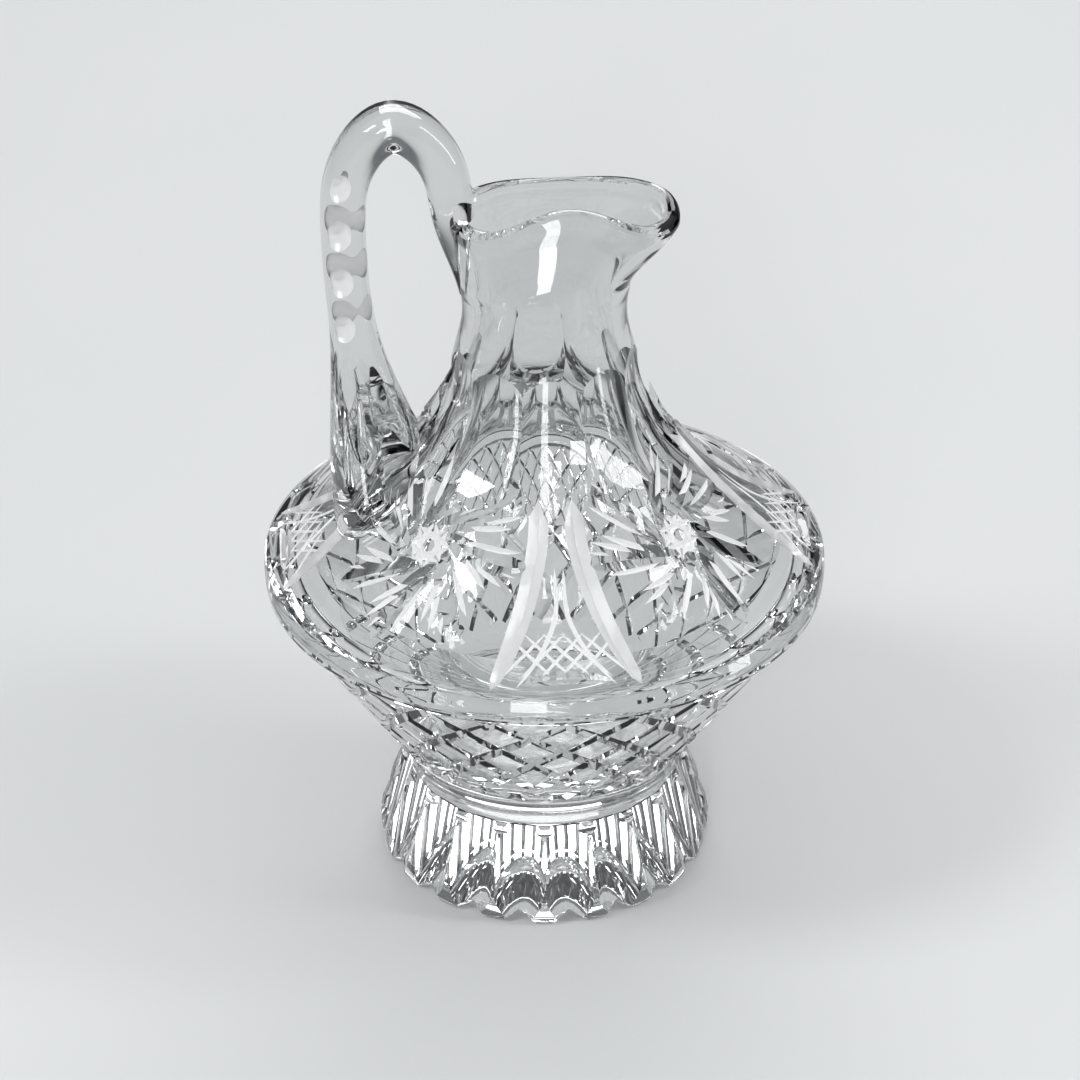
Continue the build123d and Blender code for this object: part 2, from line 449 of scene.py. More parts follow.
def carve(thing: bpy.types.Object, layers: list[Layer]) -> None:
    """Turn a piece's faces outwards, and take layers of bars and wheels out of it.

    Each layer is one exact difference, so the solids of a layer don't meet.

    Args:
        thing: the piece.
        layers: the layers, in the order of the cuts.
    """
    shape = bmesh.new()
    shape.from_mesh(thing.data)
    if shape.calc_volume(signed=True) < 0:
        bmesh.ops.reverse_faces(shape, faces=shape.faces)
    shape.to_mesh(thing.data)
    shape.free()
    tools = []
    for i, (finish, parts) in enumerate(layers):
        tool = glass_object(f"{thing.name} wheel {i}", merged(parts), finish)
        step = thing.modifiers.new(tool.name, "BOOLEAN")
        step.operation, step.solver, step.object = "DIFFERENCE", "MANIFOLD", tool
        step.material_mode = "TRANSFER"
        tools.append(tool)
    graph = bpy.context.evaluated_depsgraph_get()
    cut = bpy.data.meshes.new_from_object(thing.evaluated_get(graph))
    thing.modifiers.clear()
    thing.data = cut
    for tool in tools:
        bpy.data.objects.remove(tool)


def polish(thing: bpy.types.Object, edge: float) -> None:
    """Shade a piece smooth, with a crisp edge wherever its faces turn by more than an angle.

    Args:
        thing: the piece.
        edge: the angle in degrees.
    """
    mesh = thing.data
    mesh.polygons.foreach_set("use_smooth", np.ones(len(mesh.polygons), bool))
    mesh.set_sharp_from_angle(angle=math.radians(edge))
    mesh.update()
    LOG.info("%s: %d faces", thing.name, len(mesh.polygons))


@dataclass
class BodySize:
    """Sizes of the bowl, neck and lip, in millimetres, with some shares and powers."""

    seat_height: float = 29.0
    seat_radius: float = 40.5
    cove_bend: float = 1.6
    cone_low: tuple = (45.0, 41.0)
    bowl_radius: float = 81.2
    step: float = 2.4
    band_bottom: float = 92.5
    band_top: float = 101.0
    shoulder: tuple = (57.0, 117.0)
    collar: tuple = (31.4, 150.0)
    neck_radius: float = 23.0
    neck_height: float = 180.0
    neck_top: float = 187.0
    flare: float = 0.9
    # Shares across and up where the shoulder bends, between its named places.
    hip_share: tuple = (0.28, 0.24)
    waist_share: tuple = (0.62, 0.5)
    throat_share: tuple = (0.72, 0.55)
    bowl_wall: float = 5.5
    neck_wall: float = 4.0
    floor: float = 9.0
    floor_crown: float = 0.3
    heel: float = 3.0
    under_band: float = 6.0
    inner_turn: float = 4.0
    inner_start: float = 0.12
    lip_length: float = 62.6
    lip_width: float = 33.0
    lip_power: float = 2.5
    lip_offset: float = 5.7
    lip_height: float = 211.0
    front_swell: float = 5.0
    front_dip: float = 6.0
    back_sag: float = 1.0
    swell_reach: float = 0.45
    lip_wall: float = 3.8
    bead: float = 0.7
    bead_start: float = 0.7

    def band_radius(self) -> float:
        """Return the radius where the band's round edge starts."""
        return self.bowl_radius - self.step / 4

    def shoulder_line(self) -> Curve:
        """Draw the outside from the band to the neck's top.

        Returns:
            A curve of (radius, height).
        """
        band, neck = (self.band_radius(), self.band_top), (self.neck_radius, self.neck_height)

        def between(low: tuple, high: tuple, share: tuple) -> tuple:
            """Return the place at shares across and up from one place to another."""
            return blend(low[0], high[0], share[0]), blend(low[1], high[1], share[1])

        return Curve([band, between(band, self.shoulder, self.hip_share),
                      self.shoulder, between(self.shoulder, self.collar, self.waist_share),
                      self.collar, between(self.collar, neck, self.throat_share),
                      neck, (self.neck_radius + self.flare, self.neck_top)])

    def cone_line(self) -> np.ndarray:
        """Return the two ends of the lower bowl's straight outside."""
        return np.array([self.cone_low, (self.bowl_radius - self.step, self.band_bottom)])

    def outside(self) -> np.ndarray:
        """Draw the outside: a cove, the straight cone, the round band and the shoulder's curve.

        Returns:
            (radius, height) rows from the seat to the neck's top.
        """
        low, high = self.cone_line()
        cove = [(blend(self.seat_radius, low[0], t ** self.cove_bend), blend(self.seat_height, low[1], t))
                for t in np.linspace(0, 1, 7)[:-1]]
        cone = [blend(low, high, t) for t in np.linspace(0, 1, 16)]
        band = [(self.band_radius() + self.step / 4 * math.cos(a),
                 blend(self.band_bottom, self.band_top, (1 + math.sin(a)) / 2))
                for a in np.linspace(-math.pi / 2, math.pi / 2, 9)]
        upper = self.shoulder_line().at(np.linspace(0.015, 1, 54))
        return np.concatenate([cove, cone, band, upper])

    def inside(self) -> np.ndarray:
        """Draw the hollow: the outside drawn in square to itself by the wall, over a flat floor.

        Returns:
            (radius, height) rows from the floor to the neck's top.
        """
        low, high = self.cone_line()
        run = (high - low) / np.linalg.norm(high - low)
        square = np.array([-run[1], run[0]])
        start = low + square * self.bowl_wall + run * self.heel
        end = high + square * self.bowl_wall - run * self.under_band
        floor = self.seat_height + self.floor
        line = self.shoulder_line()
        shares = np.linspace(self.inner_start, 1, 30)
        tangent = line.along(shares)
        walls = blend(self.bowl_wall, self.neck_wall, shares)[:, None]
        upper = line.at(shares) + np.stack([-tangent[:, 1], tangent[:, 0]], axis=1) * walls
        upper[-1] = self.neck_radius + self.flare - self.neck_wall, self.neck_top
        ahead = run * self.inner_turn
        turn = [end + ahead * s + (upper[0] - end - ahead) * s * s for s in np.linspace(0, 1, 9)[1:-1]]
        base = Curve([(start[0] * 0.12, floor), (start[0] * 0.6, floor + self.floor_crown),
                      start - run * (self.heel / 2), start])
        cone = [blend(start, end, t) for t in np.linspace(0.1, 1, 8)]
        return np.concatenate([base.at(np.linspace(0, 1, 10)), cone, turn, upper])

    def rim_height(self, x: np.ndarray, y: np.ndarray) -> np.ndarray:
        """Find the rim's height: its front edge swells by a cosine and its back edge sags.

        Args:
            x: places along handle and spout.
            y: places across them.

        Returns:
            The heights.
        """
        near = np.clip(np.abs(x - self.lip_offset) / (self.swell_reach * self.lip_length), 0, 1)
        swell = np.cos(near * np.pi) / 2 + 0.5
        front = blend(-self.front_dip, self.front_swell, swell)
        back = -self.back_sag * swell
        return self.lip_height + blend(front, back, np.clip(y / self.lip_width + 0.5, 0, 1))

    def lip_ring(self, t: float, depth: float) -> np.ndarray:
        """Find a ring of the lip: from the neck's circle to a superellipse that leans to the spout.

        Args:
            t: share of the way up from the neck's top to the rim.
            depth: distance inside the outer face.

        Returns:
            AROUND points.
        """
        s = float(eased(t))
        root = self.neck_radius + self.flare
        half_length = blend(root, self.lip_length / 2, s) - depth
        half_width = blend(root, self.lip_width / 2, s) - depth
        angles = np.linspace(0, 2 * np.pi, AROUND, endpoint=False)
        x, y = oval(angles, half_length, half_width, blend(2, self.lip_power, s))
        x = x + self.lip_offset * s
        z = self.neck_top + (self.rim_height(x, y) - self.neck_top) * t
        return np.stack([x, y, z], axis=1)


@dataclass
class Surface:
    """The bowl's outside, addressed by a place along its profile and an angle round it."""

    line: Curve

    def place(self, along: np.ndarray, turn: np.ndarray) -> tuple[np.ndarray, np.ndarray]:
        """Find points on the surface and its normals there, by turning the profile's own.

        Args:
            along: distances along the profile.
            turn: angles round the axis, in radians from +X.

        Returns:
            The points and the outward normals.
        """
        share = np.asarray(along) / self.line.length
        flat, tangent = self.line.at(share), self.line.along(share)
        c, s = np.cos(turn), np.sin(turn)
        normals = np.stack([tangent[:, 1] * c, tangent[:, 1] * s, -tangent[:, 0]], axis=1)
        return np.stack([flat[:, 0] * c, flat[:, 0] * s, flat[:, 1]], axis=1), normals

    def cut(self, plan: list | np.ndarray, origin: tuple, groove: Groove) -> Solid:
        """Build the bar that cuts a line drawn flat on the surface.

        Args:
            plan: points (across, up) in millimetres from the origin.
            origin: (distance along the profile, angle round the axis) of the plan's middle.
            groove: the kind of groove.

        Returns:
            The skin.
        """
        flat = Curve(plan).at(np.linspace(0, 1, groove.steps))
        along = origin[0] + flat[:, 1]
        radius = self.line.at(along / self.line.length)[:, 0]
        return bar(*self.place(along, origin[1] + flat[:, 0] / radius), groove)

    def layer(self, groove: Groove, plans: list) -> Layer:
        """Return the layer that cuts one kind of groove along each (plan, origin)."""
        return groove.finish, [self.cut(plan, origin, groove) for plan, origin in plans]


def swirl(start: float, radius: float, length: float, lean: float, curl: float) -> np.ndarray:
    """Draw a curved line that leaves a circle, in five equal steps that turn evenly.

    Args:
        start: angle on the circle where it starts.
        radius: the circle's radius.
        length: the line's length.
        lean: angle between the radius and the line's middle.
        curl: how far it turns in all.

    Returns:
        Six points (across, up).
    """
    steps = 5
    share = (np.arange(steps) + 0.5) / steps
    heading = start - lean + curl * (0.5 - share)
    moves = np.stack([np.cos(heading), np.sin(heading)], axis=1) * length / steps
    first = np.array([[math.cos(start), math.sin(start)]]) * radius
    return np.cumsum(np.concatenate([first, moves]), axis=0)


@dataclass
class Pinwheel:
    """A pinwheel panel: curved blades round a star, with fans of needle cuts between the blades.

    A turn is a share of the step from one blade to the next; a lean and a curl are in radians.
    """

    height_share: float = 0.355
    blades: int = 8
    hub: float = 7.2
    overlap: float = 1.2
    blade_turn: float = 0.3
    blade_length: float = 29.0
    blade_cut: Groove = Groove(CUT, Cutter.LENS, 1.9, steps=13)
    lean: float = 1.2
    curl: float = -0.5
    needles: int = 5
    needle_length: float = 23.0
    needle_cut: Groove = Groove(NEEDLE_CUT, Cutter.NEEDLE, 0.95, 0.8, 0.4, 7)
    fan_turn: float = 0.72
    fan_gap: float = 1.4
    fan_lean: tuple = (0.6, 1.25)
    fan_curl: float = -0.12
    star_reach: int = 3
    star_cut: Groove = Groove(NEEDLE_CUT, Cutter.MITRE, 0.8, 0.5, 0.5, 5)

    def angle(self, turns: Amount) -> Amount:
        """Return the angle of a number of blade steps round the hub."""
        return 2 * math.pi / self.blades * turns

    def blade(self, k: int) -> np.ndarray:
        """Return the plan of one blade."""
        start = self.angle(k + self.blade_turn)
        return swirl(start, self.hub - self.overlap, self.blade_length, self.lean, self.curl)

    def needle(self, k: int, share: float) -> np.ndarray:
        """Return the plan of one needle cut, a share of the way through its fan."""
        length = self.needle_length * (0.72 + 0.28 * math.sin(math.pi * (0.15 + 0.7 * share)))
        return swirl(self.angle(k + self.fan_turn), self.hub + self.fan_gap, length,
                     blend(*self.fan_lean, share), self.fan_curl)

    def chord(self, k: int) -> np.ndarray:
        """Return the plan of one chord of the star in the hub."""
        angles = self.angle(k + self.blade_turn + np.array([0, self.star_reach]))
        return self.hub * np.stack([np.cos(angles), np.sin(angles)], axis=1)

    def layers(self, surface: Surface, middles: list) -> list[Layer]:
        """Lay out the cuts: blades in two layers, then needles, then stars.

        Args:
            surface: the shoulder.
            middles: (distance along the profile, angle round the axis) of each.

        Returns:
            Their layers.
        """
        every = range(self.blades)
        made = [surface.layer(self.blade_cut, [(self.blade(k), m) for m in middles for k in every[odd::2]])
                for odd in (0, 1)]
        made += [surface.layer(self.needle_cut, [(self.needle(k, t), m) for m in middles for k in every])
                 for t in np.linspace(0, 1, self.needles)]
        return made + [surface.layer(self.star_cut, [(self.chord(k), m) for m in middles]) for k in every]


@dataclass
class Lyre:
    """The motif between the pinwheels: long flared mitres, an inner pair and a crosshatched foot."""

    base: float = 2.2
    height_share: float = 0.655
    waist: float = 9.6
    foot: float = 42.0
    flare_start: float = 0.3
    flare_power: float = 1.6
    # Painted highlight: the long mitres take the milky white cut, so they stay bright from every side.
    long_cut: Groove = Groove(MILKY_HIGHLIGHT_CUT, Cutter.MITRE, 2.4, 0.35, 0.9, 25)
    inner_base: float = 3.2
    inner_share: float = 0.5
    inner_waist: float = 2.4
    inner_foot: float = 28.0
    inner_cut: Groove = Groove(NEEDLE_CUT, Cutter.NEEDLE, 0.6, 0.5, 0.5, 15)
    hatch_lines: int = 5
    hatch_pitch: float = 5.2
    # The ends of a hatch line: (across from its middle, up).
    hatch_low: tuple = (8.0, 3.5)
    hatch_high: tuple = (6.0, 18.0)
    hatch_cut: Groove = Groove(NEEDLE_CUT, Cutter.NEEDLE, 0.45, 0.6, 0.4, 7)
    lens_plan: tuple = ((-13, 2.4), (0, 4.6), (13, 2.4))
    window: tuple = (0.74, 0.93)
    lens_cut: Groove = Groove(CUT, Cutter.LENS, 1.1, 0.6, 0.6, 11)

    def mitre(self, side: int, height: float, foot: float, waist: float) -> np.ndarray:
        """Draw one long mitre: straight down its waist, then flaring by a power.

        Args:
            side: -1 or 1.
            height: its height over the base.
            foot: distance between the pair at the base.
            waist: distance between the pair at the top.

        Returns:
            Points (across, up) from the top down.
        """
        share = np.linspace(0, 1, 9)
        flare = (np.clip(share - self.flare_start, 0, 1) / (1 - self.flare_start)) ** self.flare_power
        half = blend(waist, foot, flare) / 2
        return np.stack([side * half, height * (1 - share)], axis=1)

    def hatch(self, way: int, i: int) -> list:
        """Draw one hatch line.

        Args:
            way: the way it leans, -1 or 1.
            i: its number.

        Returns:
            Two points (across, up).
        """
        x = way * (i - self.hatch_lines // 2) * self.hatch_pitch
        (low_x, low_y), (high_x, high_y) = self.hatch_low, self.hatch_high
        return [(x - way * low_x, low_y), (x + way * high_x, high_y)]

    def layers(self, surface: Surface, turns: list) -> list[Layer]:
        """Lay out the cuts of the motifs.

        Args:
            surface: the shoulder.
            turns: angle round the axis of each motif.

        Returns:
            Their layers.
        """
        height = surface.line.length * self.height_share
        middles = [(self.base, turn) for turn in turns]
        long_cuts = [(self.mitre(side, height, self.foot, self.waist), m)
                     for m in middles for side in (-1, 1)]
        inner = [(self.mitre(side, height * self.inner_share, self.inner_foot, self.inner_waist),
                  (self.inner_base, turn)) for turn in turns for side in (-1, 1)]
        made = [surface.layer(self.long_cut, long_cuts), surface.layer(self.inner_cut, inner)]
        for way in (-1, 1):
            hatch = [(self.hatch(way, i), m) for m in middles for i in range(self.hatch_lines)]
            made.append(surface.layer(self.hatch_cut, hatch))
        window = [(0, height * share) for share in self.window]
        return made + [surface.layer(self.lens_cut, [(plan, m) for m in middles])
                       for plan in (self.lens_plan, window)]


@dataclass
class Lattice:
    """The raised diamonds of the lower bowl, left by two crossing sets of mitres."""

    lines: int = 24
    slant: float = math.radians(48)
    ends: tuple = (0.03, 0.985)
    mitre: Groove = Groove(CUT, Cutter.MITRE, 1.5, lift=0.9, steps=17, even=True)

    def layers(self, size: BodySize) -> list[Layer]:
        """Lay out the mitres, which turn evenly as they climb.

        Args:
            size: the body's sizes.

        Returns:
            Their layers.
        """
        surface = Surface(Curve(size.cone_line()))
        share = np.linspace(*self.ends, self.mitre.steps)
        along = share * surface.line.length
        made = []
        for way in (-1, 1):
            turns = [2 * math.pi * i / self.lines + way * self.slant * share for i in range(self.lines)]
            made.append((self.mitre.finish, [bar(*surface.place(along, turn), self.mitre) for turn in turns]))
        return made


@dataclass
class Body:
    """The hollow bowl, neck and pouring lip."""

    size: BodySize = field(default_factory=BodySize)
    neck_flutes: int = 10
    flute_depth: float = 1.0
    flute_wheel: float = 36.0
    flute_width: float = 0.4
    flute_bulge: float = 0.9
    motifs: int = 4
    crisp: float = 16.0

    def blank(self, inset: float) -> Solid:
        """Build the body as a solid that reaches past the rim, for fitting the handle.

        Args:
            inset: how far it is drawn in.

        Returns:
            The skin.
        """
        rings = list(turned_rings([(r - inset, z) for r, z in self.size.outside()]))
        rings += [self.size.lip_ring(t, inset) for t in np.linspace(0.06, 1.1, 20)]
        return ring_skin(np.stack(rings))

    def skin(self) -> Solid:
        """Build the closed surface: up the outside, round the half circle of the rim and down the inside.

        Returns:
            The skin.
        """
        size = self.size
        top = 1 - size.lip_wall / 2 / (size.lip_height - size.neck_top)

        def swelling(t: float) -> float:
            """Return how far the bead swells a share t of the way up the lip."""
            return size.bead * float(eased((t - size.bead_start) / (1 - size.bead_start)))

        rings = list(turned_rings(size.outside()))
        rings += [size.lip_ring(t, -swelling(t)) for t in np.linspace(0.05, top, 20)]
        half = size.lip_wall / 2 + size.bead
        for a in np.linspace(0, math.pi, 9)[1:-1]:
            ring = size.lip_ring(top, size.lip_wall / 2 - half * math.cos(a))
            ring[:, 2] += half * math.sin(a)
            rings.append(ring)
        rings += [size.lip_ring(t, blend(size.neck_wall, size.lip_wall + swelling(t), t))
                  for t in np.linspace(top, 0.05, 20)]
        rings += list(turned_rings(size.inside()[::-1]))
        return ring_skin(np.stack(rings))

    def flute_layers(self) -> list[Layer]:
        """Lay out the wheels of the neck's upright flutes, every other one in each layer.

        Returns:
            Their layers.
        """
        size = self.size
        height = blend(size.collar[1], size.neck_height, 0.45)
        middle = blend(size.collar[0], size.neck_radius, 0.72) - self.flute_depth + self.flute_wheel
        width = self.flute_width * size.neck_radius
        made = []
        for odd in (0, 1):
            parts = []
            for i in range(odd, self.neck_flutes, 2):
                turn = 2 * math.pi * (i + 0.5) / self.neck_flutes
                centre = outwards(turn) * middle + np.array([0, 0, height])
                parts.append(wheel(centre, outwards(turn + math.pi / 2), self.flute_wheel, width,
                                   self.flute_bulge, 120))
            made.append((POLISHED, parts))
        return made

    def build(self) -> None:
        """Build the body and take every cut out of it."""
        piece = glass_object("ewer_body", self.skin(), POLISHED)
        surface = Surface(self.size.shoulder_line())
        quarter = 2 * math.pi / self.motifs
        turns = [-math.pi / 2 + quarter * i for i in range(self.motifs)]
        panel = Pinwheel()
        middles = [(surface.line.length * panel.height_share, turn + quarter / 2) for turn in turns]
        layers = self.flute_layers() + Lattice().layers(self.size)
        layers += Lyre().layers(surface, turns) + panel.layers(surface, middles)
        carve(piece, layers)
        polish(piece, self.crisp)
        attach(piece, "root")
        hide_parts("body")


@dataclass
class Foot:
    """The thick foot with its radial hollow flutes."""

    radius: float = 49.6
    height: float = 29.0
    edge: float = 7.0
    edge_round: float = 1.2
    seat: float = 40.5
    dome_share: float = 0.62
    flutes: int = 20
    flute_radius: float = 11.0
    flute_depth: float = 2.6
    lean: float = 18.0
    turn: float = -4.5
    groove: float = 1.1
    groove_share: float = 0.91
    # The ends of a notch's line: (out from the foot's radius, up from the floor).
    notch_inner: tuple = (-7.0, -1.5)
    notch_outer: tuple = (2.0, 5.5)
    # The way that the line faces, outwards for one unit down.
    notch_face: float = 0.75
    notch_cut: Groove = Groove(CUT, Cutter.MITRE, 1.4, lift=3.0, steps=5, even=True)
    crisp: float = 16.0

    def skin(self) -> Solid:
        """Build the foot's closed surface, from its base over the dome and groove to the seat.

        Returns:
            The skin.
        """
        side = [(self.radius + self.edge_round * (math.sin(a) - 1), self.edge * (1 - math.cos(a)))
                for a in np.linspace(0, math.pi / 2, 6)]
        hip = (blend(self.seat, self.radius, self.dome_share), blend(self.edge, self.height, self.dome_share))
        dome = Curve([(self.radius, self.edge), hip, (self.seat, self.height)])
        rows = [(self.radius * 0.3, 0), (self.radius * 0.9, 0)] + side
        rows += list(dome.at(np.linspace(0.06, 0.86, 16)))
        middle = dome.at(self.groove_share)[0]
        rows += [(middle[0] - self.groove * math.sin(a), middle[1] - self.groove * math.cos(a))
                 for a in np.linspace(0.2, math.pi - 0.2, 9)]
        rows += list(dome.at(np.linspace(0.96, 1, 3)))
        rows += [(self.seat, self.height + FUSED), (self.seat * 0.5, self.height + FUSED)]
        return ring_skin(turned_rings(rows))

    def out(self, i: int) -> np.ndarray:
        """Return the unit vector out from the axis to one flute."""
        return outwards(math.radians(self.turn + 360 * (i + 0.5) / self.flutes))

    def flute(self, i: int) -> Solid:
        """Build the wheel of one flute, which leans with the dome.

        Args:
            i: the flute's number.

        Returns:
            The skin.
        """
        out, lean = self.out(i), math.radians(self.lean)
        axis = -math.sin(lean) * out + np.array([0, 0, math.cos(lean)])
        centre = out * (self.radius + self.flute_radius - self.flute_depth) + np.array([0, 0, self.edge])
        return wheel(centre, axis, self.flute_radius, 1.5 * self.height, 0, 64)

    def notch(self, i: int) -> Solid:
        """Build the bar of the notch under one flute.

        Args:
            i: the flute's number.

        Returns:
            The skin.
        """
        out, up = self.out(i), np.array([0, 0, 1.0])
        inner, outer = (out * (self.radius + r) + up * z for r, z in (self.notch_inner, self.notch_outer))
        points = blend(inner, outer, np.linspace(0, 1, self.notch_cut.steps)[:, None])
        face = out * self.notch_face - up
        return bar(points, np.tile(face / np.linalg.norm(face), (len(points), 1)), self.notch_cut)

    def build(self) -> None:
        """Build the foot and take every cut out of it."""
        piece = glass_object("ewer_foot", self.skin(), POLISHED)
        layers = [(CUT, [self.flute(i) for i in range(odd, self.flutes, 2)]) for odd in (0, 1)]
        carve(piece, layers + [(self.notch_cut.finish, [self.notch(i) for i in range(self.flutes)])])
        polish(piece, self.crisp)
        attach(piece, "root")
        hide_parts("foot")


@dataclass
class Handle:
    """The applied handle: a pulled strap with hollow thumb cuts on both flanks."""

    top: float = 241.5
    crown: float = 41.5
    back: float = 61.5
    arch: float = 207.0
    thickness: float = 12.4
    width: float = 16.0
    squareness: float = 3.0
    tip: float = 5.0
    # Shares of the handle's length: the end of the tip's taper, and (start, run) of each fan.
    taper_end: float = 0.16
    length_fan: tuple = (0.62, 0.4)
    width_fan: tuple = (0.7, 0.32)
    seat_height: float = 113.0
    seat_length: float = 33.0
    seat_width: float = 42.0
    seat_share: float = 0.48
    arm_share: tuple = (0.6, 0.42)
    thumbs: int = 4
    thumb_radius: float = 9.0
    thumb_depth: float = 1.4
    thumb_pitch: float = 14.5
    thumb_shift: float = 2.4
    thumb_first: float = 178.0
    lens_length: float = 26.0
    lens_width: float = 7.0
    lens_bulge: float = 0.9
    lens_lean: float = 0.12
    crisp: float = 24.0

    def path(self, size: BodySize) -> Curve:
        """Draw the centre line from the tip, over the arch, to the seat on the shoulder.

        Args:
            size: the body's sizes.

        Returns:
            The line, in the plane of handle and spout.
        """
        half = self.thickness / 2
        arm, back = -(size.neck_radius + half / 3), -(self.back - half)
        seat = -blend(size.collar[0], size.shoulder[0], self.seat_share)
        points = [(-(size.neck_radius - self.tip / 3), 0, size.neck_height + self.tip)]
        for angle in np.radians((-90, -45, 0, 45, 90)):
            side = arm if angle < 0 else back
            points.append((blend(-self.crown, side, abs(math.sin(angle))), 0,
                           blend(self.arch, self.top - half, math.cos(angle))))
        points.append((blend(seat, back, self.arm_share[0]), 0,
                       blend(self.seat_height, self.arch, self.arm_share[1])))
        points.append((seat, 0, self.seat_height))
        return Curve(points)

    def skin(self, size: BodySize) -> Solid:
        """Carry a superellipse along the centre line, thin at the tip and fanned out at the seat.

        Args:
            size: the body's sizes.

        Returns:
            The skin, before the handle is fitted to the body.
        """
        path = self.path(size)
        shares = np.linspace(0, 1, 120)
        centre, ahead = path.at(shares), path.along(shares)
        (long_start, long_run), (wide_start, wide_run) = self.length_fan, self.width_fan
        tapered = blend(self.tip / self.thickness, 1, eased(shares / self.taper_end))
        thick = tapered * blend(1, self.seat_length / self.thickness, eased((shares - long_start) / long_run))
        wide = tapered * blend(1, self.seat_width / self.width, eased((shares - wide_start) / wide_run))
        angles = np.linspace(0, 2 * np.pi, 72, endpoint=False)
        x, y = oval(angles, self.thickness / 2, self.width / 2, self.squareness)
        across = np.stack([-ahead[:, 2], 0 * shares, ahead[:, 0]], axis=1)[:, None]
        rings = centre[:, None] + thick[:, None, None] * x[:, None] * across
        rings[:, :, 1] += wide[:, None] * y
        return ring_skin(rings)

    def spine(self) -> float:
        """Return where the thumb cuts' middles stand, towards the spout from the axis."""
        return -(self.back - self.thickness / 2) - self.thumb_shift

    def ball(self, side: int, i: int) -> Solid:
        """Build the ball wheel of one thumb cut: rings of radius sin p at heights of cos p.

        Args:
            side: the flank, -1 or 1.
            i: its number, from the lowest.

        Returns:
            The skin.
        """
        middle = (self.spine(), side * (self.width / 2 + self.thumb_radius - self.thumb_depth),
                  self.thumb_first + i * self.thumb_pitch)
        angles = np.linspace(0, 2 * np.pi, 48, endpoint=False)
        p = np.linspace(0.04, math.pi - 0.04, 32)[:, None]
        flat, rise = np.sin(p), np.cos(p) + 0 * angles
        unit = np.stack([flat * np.cos(angles), flat * np.sin(angles), rise], axis=2)
        return ring_skin(np.array(middle) + self.thumb_radius * unit)

    def long_wheel(self, side: int) -> Solid:
        """Build the wheel of the long lens cut below the thumb cuts.

        Args:
            side: the flank, -1 or 1.

        Returns:
            The skin.
        """
        radius = self.lens_length ** 2 / (8 * self.thumb_depth)
        centre = (self.spine() + self.lens_width / 3, side * (self.width / 2 + radius - self.thumb_depth),
                  self.thumb_first - self.thumb_pitch / 2 - self.lens_length / 2)
        bulge = self.lens_width * self.lens_bulge
        return wheel(centre, (1, 0, self.lens_lean), radius, self.lens_width, bulge, 160)

    def build(self, body: Body) -> None:
        """Build the handle, fit it to the body's outside and cut its thumb hollows.

        Args:
            body: the body that it stands on.
        """
        piece = glass_object("ewer_handle", self.skin(body.size), POLISHED)
        layers = [(POLISHED, [body.blank(FUSED)])]
        for side in (-1, 1):
            for odd in (0, 1):
                # Painted highlight: the thumb cuts take the milky white cut, so they stay bright from every
                # side.
                layers.append((MILKY_HIGHLIGHT_CUT, [self.ball(side, i) for i in range(odd, self.thumbs, 2)]))
            layers.append((CUT, [self.long_wheel(side)]))
        carve(piece, layers)
        polish(piece, self.crisp)
        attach(piece, "root")
        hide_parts("handle")


@dataclass(frozen=True)
class Paper:
    """The sweep's matte paper: two close tones, and the tones that glass and the far eye see."""

    name: str = "pale studio paper"
    tone: str = "#D9DADA"
    mottle: str = "#D3D5D6"
    in_glass: str = "#C9CBCC"
    # Painted shade: the dark grey that the paper's glow in glass falls to, away from the ewer.
    room: str = "#54585B"
    far: str = "#E0E2E3"
    near: float = 0.5
    away: float = 1.5
    glass_share: float = 0.8

    def material(self) -> bpy.types.Material:
        """Make the paper.

        Glass shows it as an even pale glow round the ewer, and a painted shade darkens that glow to a dark
        grey from near to away, in metres, which draws the edges of the cuts.  The eye sees it evenly lit far
        away.

        Returns:
            The material.
        """
        material = bpy.data.materials.new(self.name)
        tree = empty_tree(material)
        where = add_node(tree, "TexCoord").outputs["Object"]
        ray = add_node(tree, "LightPath").outputs
        noise = add_node(tree, "TexNoise", {"Vector": where, "Scale": 4.0})
        tone = add_node(tree, "Mix", {0: noise.outputs["Fac"], 6: linear(self.tone), 7: linear(self.mottle)},
                        data_type="RGBA")
        paper = add_node(tree, "BsdfPrincipled", {"Base Color": tone.outputs[2], "Roughness": 0.85})
        reach = add_node(tree, "VectorMath", {0: where}, operation="LENGTH")
        ramp = add_node(tree, "MapRange",
                        {"Value": reach.outputs["Value"], "From Min": self.near, "From Max": self.away},
                        interpolation_type="SMOOTHSTEP")
        fall = ramp.outputs["Result"]
        # Painted shade: the glow that glass sees darkens from the pale tone to a dark grey with distance from
        # the ewer.
        room = add_node(tree, "Mix", {0: fall, 6: linear(self.in_glass), 7: linear(self.room)},
                        data_type="RGBA")
        shown = add_node(tree, "Mix", {0: ray["Is Camera Ray"], 6: room.outputs[2], 7: linear(self.far)},
                         data_type="RGBA")
        even = add_node(tree, "Emission", {"Color": shown.outputs[2], "Strength": 1.0})
        glass = add_node(tree, "Math", {0: ray["Is Transmission Ray"], 1: ray["Is Glossy Ray"]},
                         operation="MAXIMUM")
        in_glass = add_node(tree, "Math", {0: glass.outputs[0], 1: self.glass_share}, operation="MULTIPLY")
        far_off = add_node(tree, "Math", {0: ray["Is Camera Ray"], 1: fall}, operation="MULTIPLY")
        share = add_node(tree, "Math", {0: in_glass.outputs[0], 1: far_off.outputs[0]}, operation="MAXIMUM")
        both = add_node(tree, "MixShader", {0: share.outputs[0], 1: paper.outputs[0], 2: even.outputs[0]})
        add_node(tree, "OutputMaterial", {"Surface": both.outputs[0]})
        return material


